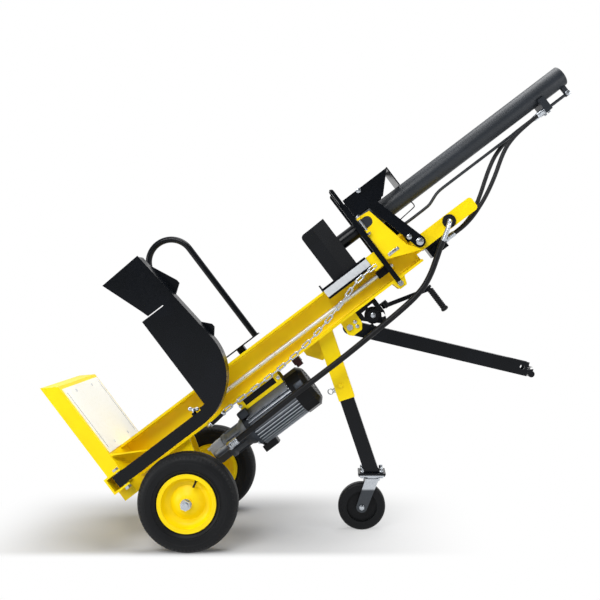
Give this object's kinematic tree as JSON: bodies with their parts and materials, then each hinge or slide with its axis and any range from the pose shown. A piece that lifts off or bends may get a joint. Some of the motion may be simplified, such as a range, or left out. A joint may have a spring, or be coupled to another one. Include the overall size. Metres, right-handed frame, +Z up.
{
  "type": "log splitter",
  "caption": "Upright hydraulic log splitter on an H-beam mast, tipped back on road wheels and a swivel castor, with ram, wedge, log lifter, tow bar, winch and electric power pack.",
  "frame": {"origin": "on the floor, at the middle of the machine's length and width", "axes": "+X from the base to the tow bar, along the floor; +Z up; +Y across, away from the log lifter"},
  "size_m": [2.166, 0.705, 1.9572],
  "materials": {
    "yellow_paint": "satin powder coat",
    "wear_plate": "pale matt coat",
    "zinc": "bright zinc plate",
    "black_paint": "satin black powder coat",
    "steel": "ground",
    "cast_alloy": "cast",
    "black_plastic": "moulded",
    "rubber": "matt",
    "tyre": "matt"
  },
  "bodies": {
    "mast": {"beam": "yellow_paint", "base_pan": "yellow_paint", "wear_plate": "wear_plate", "axle": "zinc", "axle_brackets": "yellow_paint", "axle_nuts": "zinc", "lifter_ears": "yellow_paint", "pivot_bolts": "zinc", "hoop_guard": "black_paint", "head_cheeks": "yellow_paint", "guard_plates": "black_paint", "barrel": "black_paint", "gland": "steel", "end_cap": "black_paint", "keeper_bolts": "zinc", "top_cover": "yellow_paint", "valve_body": "black_paint", "pipe_grommet": "rubber", "pressure_elbow": "zinc", "steel_pipe": "black_paint", "pressure_hose": "rubber", "upper_hose_near": "rubber", "upper_hose_far": "rubber", "port_block": "black_paint", "stop_blocks": "yellow_paint", "lever_ears": "yellow_paint", "rod_guides": "black_paint", "motor_rail": "yellow_paint", "motor_housing": "cast_alloy", "motor_flange": "cast_alloy", "fan_cover": "black_plastic", "terminal_box": "black_plastic", "pump_bell": "cast_alloy", "gear_pump": "cast_alloy", "power_inlet": "black_plastic", "leg_sleeve": "yellow_paint", "leg_clamp": "zinc", "tow_bracket": "yellow_paint", "winch_frame": "black_paint", "lift_chain": "zinc"},
    "carriage": {"wedge": "black_paint", "carriage_plate": "black_paint", "gib_bars": "zinc", "keeper_plates": "black_paint", "piston_rod": "steel", "piston": "steel"},
    "lifter": {"lifter_bar": "black_paint", "lifter_plate": "black_paint"},
    "wheel_near": {"tyre_near": "tyre", "rim_near": "yellow_paint"},
    "wheel_far": {"tyre_far": "tyre", "rim_far": "yellow_paint"},
    "leg": {"leg_tube": "black_paint"},
    "caster": {"caster_fork": "zinc"},
    "caster_roll": {"caster_wheel": "tyre"},
    "towbar": {"tow_bar": "black_paint"},
    "ratchet": {"winch_lever": "black_paint"},
    "lever_near": {"control_lever_near": "black_paint"},
    "lever_far": {"control_lever_far": "black_paint"},
    "stroke_stop": {"stroke_rod": "zinc"}
  },
  "joints": [
    {"name": "wedge_slide", "type": "slide", "parent": "mast", "child": "carriage", "axis": [-0.7965, 0, -0.6046], "range_m": [0, 0.85]},
    {"name": "lifter_swing", "type": "hinge", "parent": "mast", "child": "lifter", "pos_m": [-0.75079, -0.258, 0.27866], "axis": [0.6046, 0, -0.7965], "range_deg": [0, 90]},
    {"name": "wheel_near_spin", "type": "hinge", "parent": "mast", "child": "wheel_near", "pos_m": [-0.4839, -0.285, 0.195], "axis": [0, 1, 0], "continuous": true},
    {"name": "wheel_far_spin", "type": "hinge", "parent": "mast", "child": "wheel_far", "pos_m": [-0.4839, 0.285, 0.195], "axis": [0, 1, 0], "continuous": true},
    {"name": "leg_slide", "type": "slide", "parent": "mast", "child": "leg", "axis": [0.3206, 0, -0.9472], "range_m": [0, 0.15]},
    {"name": "caster_swivel", "type": "hinge", "parent": "leg", "child": "caster", "pos_m": [0.2358, 0, 0.21], "axis": [0, 0, 1], "continuous": true},
    {"name": "caster_spin", "type": "hinge", "parent": "caster", "child": "caster_roll", "pos_m": [0.1938, 0, 0.1], "axis": [0, 1, 0], "continuous": true},
    {"name": "towbar_swing", "type": "hinge", "parent": "mast", "child": "towbar", "pos_m": [0.14349, 0, 0.85703], "axis": [0, 1, 0], "range_deg": [0, 40]},
    {"name": "winch_ratchet", "type": "hinge", "parent": "mast", "child": "ratchet", "pos_m": [0.29396, 0, 0.94989], "axis": [-0.6046, 0, 0.7965], "range_deg": [0, 95]},
    {"name": "lever_near_swing", "type": "hinge", "parent": "mast", "child": "lever_near", "pos_m": [0.35263, -0.092, 1.04213], "axis": [0, -1, 0], "range_deg": [0, 8], "stiffness_Nm_per_rad": 30, "springref_deg": -8.59},
    {"name": "lever_far_swing", "type": "hinge", "parent": "mast", "child": "lever_far", "pos_m": [0.35263, 0.092, 1.04213], "axis": [0, -1, 0], "range_deg": [0, 8], "stiffness_Nm_per_rad": 30, "springref_deg": -8.59},
    {"name": "stroke_rod_slide", "type": "slide", "parent": "mast", "child": "stroke_stop", "axis": [0.7965, 0, 0.6046], "range_m": [-0.02, 0.02]}
  ]
}
